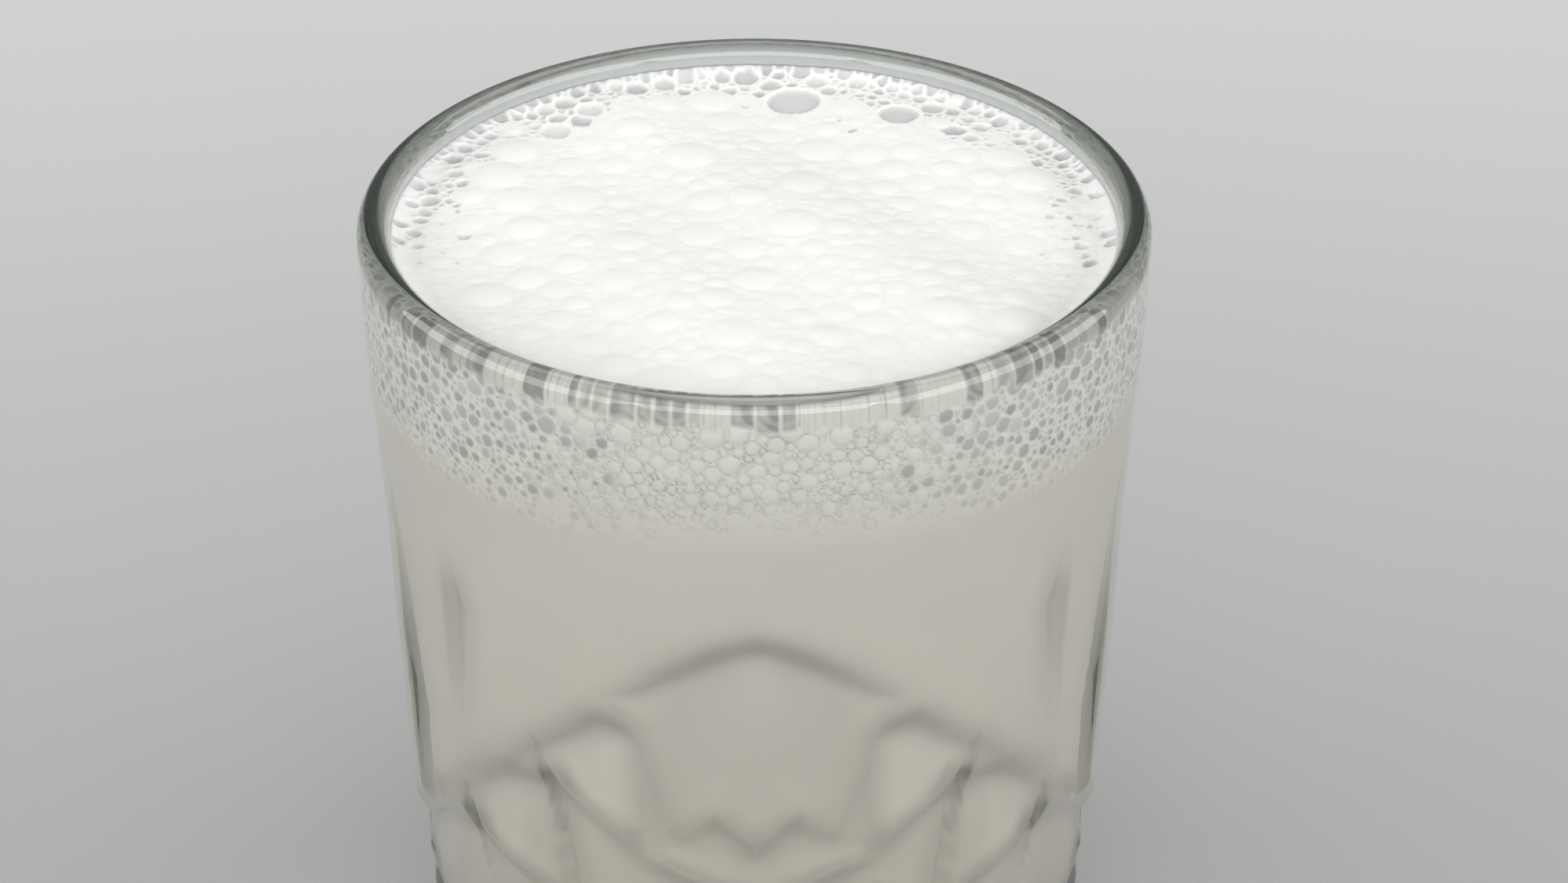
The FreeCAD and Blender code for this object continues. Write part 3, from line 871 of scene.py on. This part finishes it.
def froth_side(z_hi, z_lo, seg=1160, step=0.20):
    """Closed body of froth whose side carries bubbles pressed against the wall."""
    slope = (BORE_TOP_R - BORE_LOW_R) / (LIP_Z - BORE_LOW_Z)
    z = np.concatenate([np.arange(z_hi, 79.5, -step), np.linspace(79.5, z_lo, 4)])
    rows = len(z)
    rad = BORE_TOP_R - (LIP_Z - z) * slope
    th = np.arange(seg) * 2 * math.pi / seg
    T, Z = np.meshgrid(th, z)
    T, Z = T.ravel(), Z.ravel()
    S = T * BORE_TOP_R
    total = 2 * math.pi * BORE_TOP_R
    r = np.random.default_rng(21)
    pts = []
    grid = {}
    span = z_hi - 79.0
    for k in range(70000):
        s0 = r.random() * total
        v = z_hi + 1.0 - r.random() ** 1.15 * (span + 1.0)
        t = min(max((z_hi - v) / span, 0), 1)
        if k < 9000:
            size = r.uniform(0.64, 1.30) * (1 - 0.50 * t) * (1 - 0.12 * abs(math.sin(s0 / BORE_TOP_R)))
        else:
            size = r.uniform(0.24, 0.66) * (1 - 0.35 * t)
        if r.random() < (t - 0.60) * 1.4:
            continue
        kx, ky = int(s0 / 3), int(math.floor(v / 3))
        ok = True
        for ax in (-1, 0, 1):
            for ay in (-1, 0, 1):
                for i in grid.get((kx + ax, ky + ay), ()):
                    q = pts[i]
                    if (q[0] - s0) ** 2 + (q[1] - v) ** 2 < ((q[2] + size) * 0.89) ** 2:
                        ok = False
                        break
                if not ok:
                    break
            if not ok:
                break
        if ok:
            grid.setdefault((kx, ky), []).append(len(pts))
            pts.append((s0, v, size))
    pts = np.array(pts)
    wrapped = np.concatenate([pts, pts[pts[:, 0] < 9] + (total, 0, 0), pts[pts[:, 0] > total - 9] - (total, 0, 0)])
    first, border = cell_field(S, Z, wrapped, 0)
    own = wrapped[first]
    s_ = own[:, 2]
    dist = np.hypot(S - own[:, 0], Z - own[:, 1])
    edge = s_ * 1.10 - dist
    b = np.minimum(np.clip(border, 0, None), np.clip(edge, 0, None))
    # bubbles reach lower down the wall at the flanks than at the front and back
    turn = np.clip(np.abs(np.sin(T)) / 0.80, 0, 1)
    key = np.sin(own[:, 0] * 12.9898 + own[:, 1] * 78.233) * 43758.5453
    key = key - np.floor(key)
    fade = 80.8 - 2.4 * turn + 1.6 * np.sin(3 * T + 1.0) * (1 - turn)
    live = np.clip((own[:, 1] - fade) / 6.0, 0, 1) ** 0.6 * np.clip((Z - 79.5) / 0.6, 0, 1)
    live = live * (key * 0.95 < live + 0.05)
    flank = np.clip((np.abs(np.sin(T)) - 0.25) / 0.45, 0, 1)
    key2 = np.mod(key * 7.31, 1.0)
    # painted shade: grey windows into the bubbles on the flanks
    hollow_shade = np.clip((flank * 1.45 - key2) / 0.12, 0, 1)
    pit = np.clip((b - 0.09) / 0.10, 0, 1) * (0.04 * key2 + hollow_shade * (0.33 + 0.47 * key)) * live
    # painted shade: dark outlines round the bubbles pressed against the wall
    seam_shade = np.exp(-(b / 0.09) ** 2) * (edge > -0.06) * live * (1 - 0.85 * flank) * (0.25 + 0.50 * key2)
    bulge = (1 - (1 - np.clip(b / (0.7 * s_ + 0.05), 0, 1)) ** 2) * 0.26 * s_ * np.clip(live * 1.3, 0, 1)
    web = np.exp(-(b / 0.16) ** 2) * live * flank
    white = np.clip((Z - 79.5) / 9.0, 0, 1) * 0.80
    white = white + (1 - white) * 0.85 * web
    # painted shade: the streak row just under the lip replaces the bubbles there
    streak, sag = painted_rim_streaks(T)
    brink = np.clip((Z - (z_hi - sag)) / 0.45, 0, 1)
    band = 0.80 + 0.20 * np.sin(6.0 * Z + 9.0 * np.sin(T * 23)) - 0.35 * np.clip(1 - (Z - z_hi + sag) / 0.8, 0, 1)
    pit = pit * (1 - brink) + streak * band * brink
    seam_shade = seam_shade * (1 - brink)
    white = white * (1 - brink) + brink * 0.40
    bulge = bulge * (1 - brink) * np.clip((Z - 79.6) / 1.0, 0, 1)
    tuck = 0.10 - 0.10 * np.clip((LASSI_TOP_Z + 0.7 - Z) / 1.2, 0, 1)
    R = np.tile(rad[:, None], (1, seg)).ravel() + tuck + bulge
    verts = np.stack([R * np.sin(T), -R * np.cos(T), Z], -1)
    faces = rings_to_faces(rows, seg)
    inner = np.stack([(rad[0] - 0.5) * np.sin(th), -(rad[0] - 0.5) * np.cos(th), np.full(seg, z_hi - 2.2)], -1)
    verts = np.concatenate([verts, [[0, 0, z_hi - 2.2], [0, 0, z_lo]], inner])
    top, low, ring = rows * seg, rows * seg + 1, rows * seg + 2
    faces += [(j, (j + 1) % seg, ring + (j + 1) % seg, ring + j) for j in range(seg)]
    faces += [(ring + j, ring + (j + 1) % seg, top) for j in range(seg)]
    a = (rows - 1) * seg
    faces += [(a + j, low, a + (j + 1) % seg) for j in range(seg)]
    ob = mesh_object("froth_body", verts * MM, faces)
    for name, val in (("pit", pit), ("seam_shade", seam_shade), ("white", white)):
        full = np.zeros(len(verts), np.float32)
        full[:len(val)] = val
        at_ = ob.data.attributes.new(name, "FLOAT", "POINT")
        at_.data.foreach_set("value", full)
    return ob


# ---- build -------------------------------------------------------------------
glass = tumbler()
glass.data.materials.append(glass_material())
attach(glass, "root")
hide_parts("glass")

profile = bore_profile(LASSI_TOP_Z + 0.4, 0.06)
profile = np.insert(profile, 1, profile[0] * 0.975 + profile[1] * 0.025, axis=0)
# painted shade: the absorbing core darkens the flanks of the glass
shade_core = flank_shade_core()
shade_core.data.materials.append(shade_core_material())
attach(shade_core, "root")

lassi = revolve_object("lassi_body", profile, 420,
                       close_top=LASSI_TOP_Z + 0.4, close_bottom=FLOOR_Z - 0.06)
lassi.data.materials.append(drink_material("lassi", LASSI))
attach(lassi, "root")
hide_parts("lassi")

froth_body = froth_side(FROTH_TOP_Z - 0.45, LASSI_TOP_Z - 0.4)
froth_body.data.materials.append(drink_material("froth_side", LASSI))
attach(froth_body, "root")
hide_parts("froth")

skin = froth_top()
skin.data.materials.append(froth_top_material())
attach(skin, "root")

# ---- stage, light, camera ----------------------------------------------------
floor = mesh_object("stage_floor", [(-3, -2, 0), (3, -2, 0), (3, 6, 0), (-3, 6, 0)], [(0, 1, 2, 3)], smooth=False)
fm, fnt = material("stage")
fo = fnt.nodes.new("ShaderNodeOutputMaterial")
fp = node(fnt, "ShaderNodeBsdfPrincipled", Roughness=0.75)
fc = fnt.nodes.new("ShaderNodeTexCoord")
fs = fnt.nodes.new("ShaderNodeSeparateXYZ")
fnt.links.new(fc.outputs["Object"], fs.inputs[0])
# painted light: the floor's colour is lighter towards the back and darker near the front
far_light = maths(fnt, "MULTIPLY_ADD", fs.outputs["Y"], 1 / 0.30)
far_light.node.inputs[2].default_value = 0.02
far_light.node.use_clamp = True
fnt.links.new(mix_colour(fnt, far_light, (0.350, 0.352, 0.346), (0.515, 0.522, 0.518)), fp.inputs["Base Color"])
fnt.links.new(fp.outputs[0], fo.inputs["Surface"])
floor.data.materials.append(fm)

world = bpy.data.worlds.new("studio")
scene.world = world
world.use_nodes = True
bg = world.node_tree.nodes["Background"]
bg.inputs[0].default_value = (0.93, 0.96, 1.0, 1)
bg.inputs[1].default_value = 0.19


def area(name, loc, target, size, power, colour=(1, 1, 1)):
    d = bpy.data.lights.new(name, "AREA")
    d.shape = "RECTANGLE"
    d.size, d.size_y = size
    d.energy = power
    d.color = colour
    o = bpy.data.objects.new(name, d)
    o.location = loc
    o.rotation_euler = (Vector(target) - Vector(loc)).to_track_quat("-Z", "Y").to_euler()
    scene.collection.objects.link(o)
    return o


area("back", (0.0, 0.60, 1.05), (0, 0.20, 0.0), (1.3, 0.5), 4.5, (1.0, 0.995, 0.98))
area("front", (0.0, -1.6, 0.85), (0, 0, 0.06), (2.0, 1.0), 26.5)
area("left", (-1.7, -0.5, 0.75), (0, 0, 0.06), (2.8, 1.3), 43.0)
area("right", (1.7, -0.5, 0.75), (0, 0, 0.06), (2.8, 1.3), 43.0)

VIEW_DROP, VIEW_ROLL, VIEW_FAR, FOCAL = 27.877, 0.1195, 9.3087, 4500.0
AIM = (962.4 - 1000.0, 275.94 - 563.0)
phi, roll = math.radians(VIEW_DROP), math.radians(VIEW_ROLL)
back_dir = np.array([0, -math.cos(phi), math.sin(phi)])
right = np.array([1.0, 0, 0])
up = np.cross(right, -back_dir)
R = np.stack([right, up, -back_dir])
d = np.array([AIM[0] / FOCAL, -AIM[1] / FOCAL, 1.0])
d /= np.linalg.norm(d)
ax = np.cross((0, 0, 1.0), d)
s, c = np.linalg.norm(ax), d[2]
ax /= s
K = np.array([[0, -ax[2], ax[1]], [ax[2], 0, -ax[0]], [-ax[1], ax[0], 0]])
Q = np.eye(3) + s * K + (1 - c) * K @ K
Rr = np.array([[math.cos(roll), -math.sin(roll), 0], [math.sin(roll), math.cos(roll), 0], [0, 0, 1]])
R = Q @ Rr @ R
pos = back_dir * VIEW_FAR * LIP_MID * MM + np.array([0, 0, LIP_Z * MM])
cam_data = bpy.data.cameras.new("camera")
cam_data.sensor_width = 36.0
cam_data.lens = FOCAL / 2000.0 * 36.0
cam_data.clip_start = 0.01
cam = bpy.data.objects.new("camera", cam_data)
m = Matrix.Identity(4)
for i in range(3):
    m[i][0], m[i][1], m[i][2], m[i][3] = R[0][i], R[1][i], -R[2][i], pos[i]
cam.matrix_world = m
scene.collection.objects.link(cam)
scene.camera = cam
scene.view_settings.view_transform = "Standard"
scene.cycles.max_bounces = 18
scene.cycles.transmission_bounces = 18
scene.cycles.diffuse_bounces = 4
scene.cycles.glossy_bounces = 5
